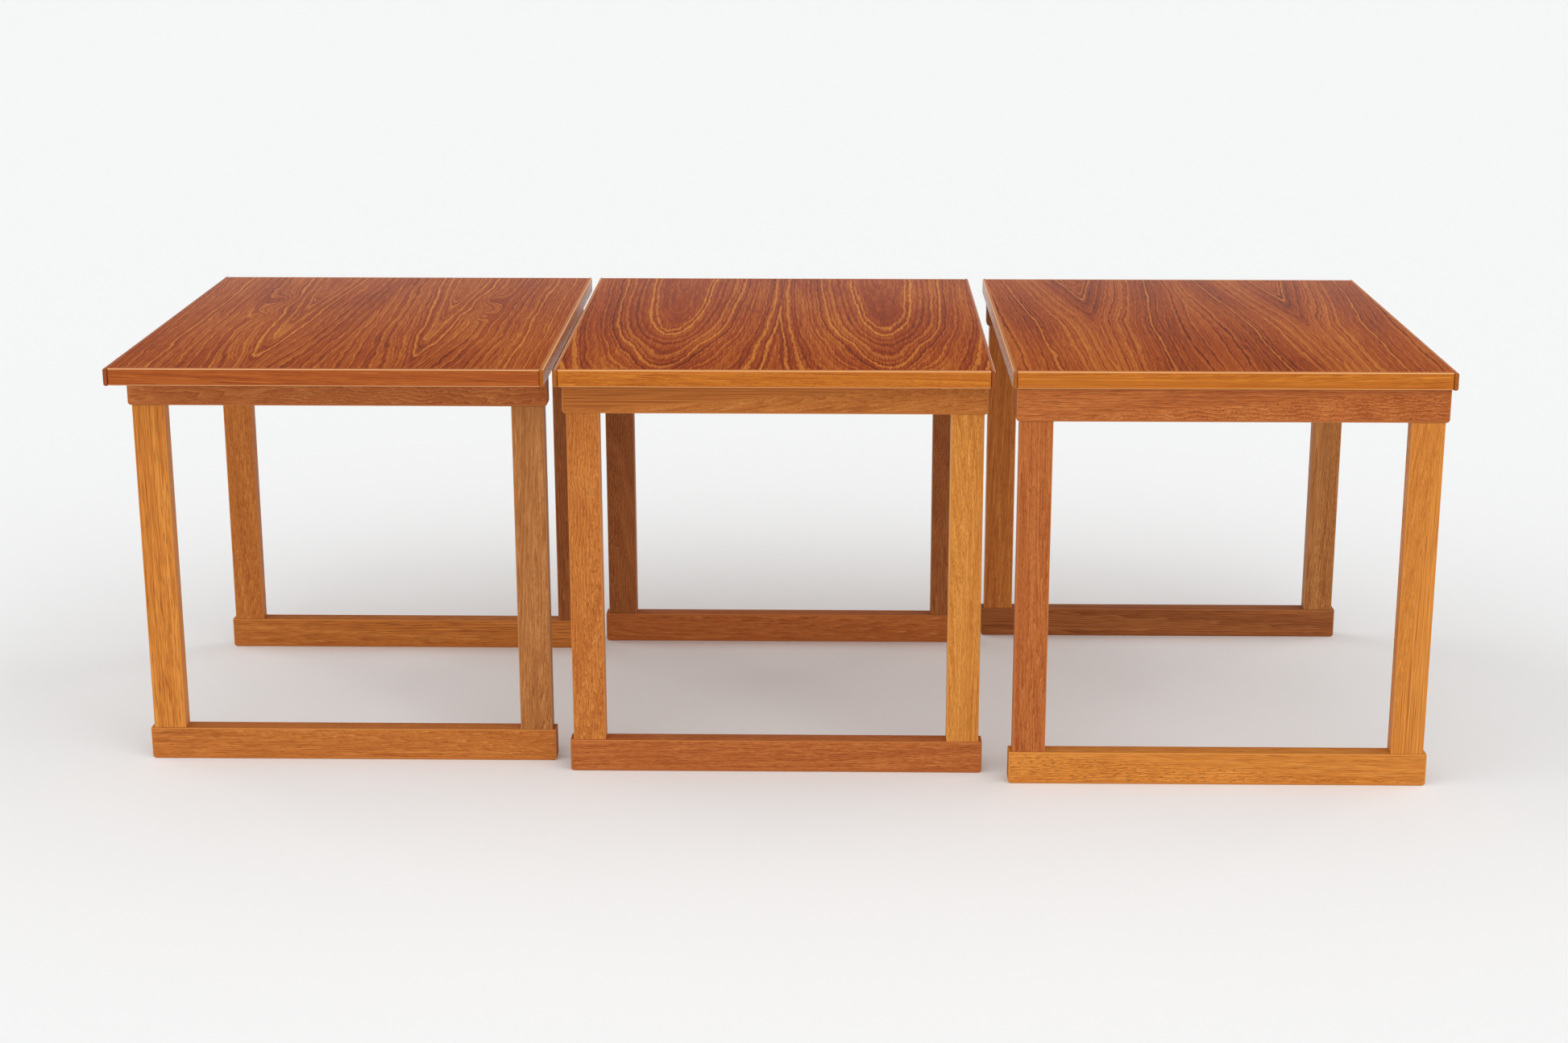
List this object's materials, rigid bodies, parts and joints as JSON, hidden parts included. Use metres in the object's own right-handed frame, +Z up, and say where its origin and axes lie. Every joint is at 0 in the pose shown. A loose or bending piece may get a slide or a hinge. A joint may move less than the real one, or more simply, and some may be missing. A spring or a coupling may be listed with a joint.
{
  "type": "nesting tables",
  "caption": "Square teak occasional tables with sled frames of stepped inset, standing in a row; the outer ones slide away from the middle one.",
  "frame": {"origin": "on the floor, at the middle of the bounding box of the row of three", "axes": "+Z up, +X along the row to the right, -Y to the front"},
  "size_m": [1.377, 0.45, 0.4525],
  "materials": {
    "teak_honey": "solid teak, light honey board, oiled satin",
    "teak_gold": "solid teak, golden board, oiled satin",
    "teak_amber": "solid teak, amber board, oiled satin",
    "teak_russet": "solid teak, reddish board, oiled satin",
    "teak_brown": "solid teak, brown flecked board, oiled satin",
    "teak_umber": "solid teak, dark board, oiled satin",
    "face_veneer": "crown-cut teak veneer, satin lacquer",
    "backing_veneer": "plain teak veneer, thin oil",
    "core_board": "raw particle board, hidden",
    "steel_screw": "dull zinc-plated steel"
  },
  "bodies": {
    "middle_table": {"middle_table_top_core": "core_board", "middle_table_backing_veneer": "backing_veneer", "middle_table_left_veneer_leaf": "face_veneer", "middle_table_right_veneer_leaf": "face_veneer", "middle_table_front_lipping": "teak_amber", "middle_table_back_lipping": "teak_honey", "middle_table_left_lipping": "teak_amber", "middle_table_right_lipping": "teak_russet", "middle_table_front_apron": "teak_amber", "middle_table_front_foot_rail": "teak_russet", "middle_table_front_left_leg": "teak_amber", "middle_table_front_left_screw": "steel_screw", "middle_table_front_right_leg": "teak_gold", "middle_table_front_right_screw": "steel_screw", "middle_table_back_apron": "teak_amber", "middle_table_back_foot_rail": "teak_russet", "middle_table_back_left_leg": "teak_umber", "middle_table_back_left_screw": "steel_screw", "middle_table_back_right_leg": "teak_umber", "middle_table_back_right_screw": "steel_screw"},
    "left_table": {"left_table_top_core": "core_board", "left_table_backing_veneer": "backing_veneer", "left_table_left_veneer_leaf": "face_veneer", "left_table_right_veneer_leaf": "face_veneer", "left_table_front_lipping": "teak_russet", "left_table_back_lipping": "teak_amber", "left_table_left_lipping": "teak_russet", "left_table_right_lipping": "teak_amber", "left_table_front_apron": "teak_russet", "left_table_front_foot_rail": "teak_amber", "left_table_front_left_leg": "teak_honey", "left_table_front_left_screw": "steel_screw", "left_table_front_right_leg": "teak_brown", "left_table_front_right_screw": "steel_screw", "left_table_back_apron": "teak_brown", "left_table_back_foot_rail": "teak_amber", "left_table_back_left_leg": "teak_amber", "left_table_back_left_screw": "steel_screw", "left_table_back_right_leg": "teak_umber", "left_table_back_right_screw": "steel_screw"},
    "right_table": {"right_table_top_core": "core_board", "right_table_backing_veneer": "backing_veneer", "right_table_left_veneer_leaf": "face_veneer", "right_table_right_veneer_leaf": "face_veneer", "right_table_front_lipping": "teak_amber", "right_table_back_lipping": "teak_gold", "right_table_left_lipping": "teak_amber", "right_table_right_lipping": "teak_amber", "right_table_front_apron": "teak_russet", "right_table_front_foot_rail": "teak_honey", "right_table_front_left_leg": "teak_russet", "right_table_front_left_screw": "steel_screw", "right_table_front_right_leg": "teak_honey", "right_table_front_right_screw": "steel_screw", "right_table_back_apron": "teak_umber", "right_table_back_foot_rail": "teak_umber", "right_table_back_left_leg": "teak_amber", "right_table_back_left_screw": "steel_screw", "right_table_back_right_leg": "teak_brown", "right_table_back_right_screw": "steel_screw"}
  },
  "joints": [
    {"name": "left_table_slide", "type": "slide", "parent": "middle_table", "child": "left_table", "axis": [-1, 0, 0], "range_m": [-0.009, 0.1]},
    {"name": "right_table_slide", "type": "slide", "parent": "middle_table", "child": "right_table", "axis": [1, 0, 0], "range_m": [-0.017, 0.1]}
  ]
}
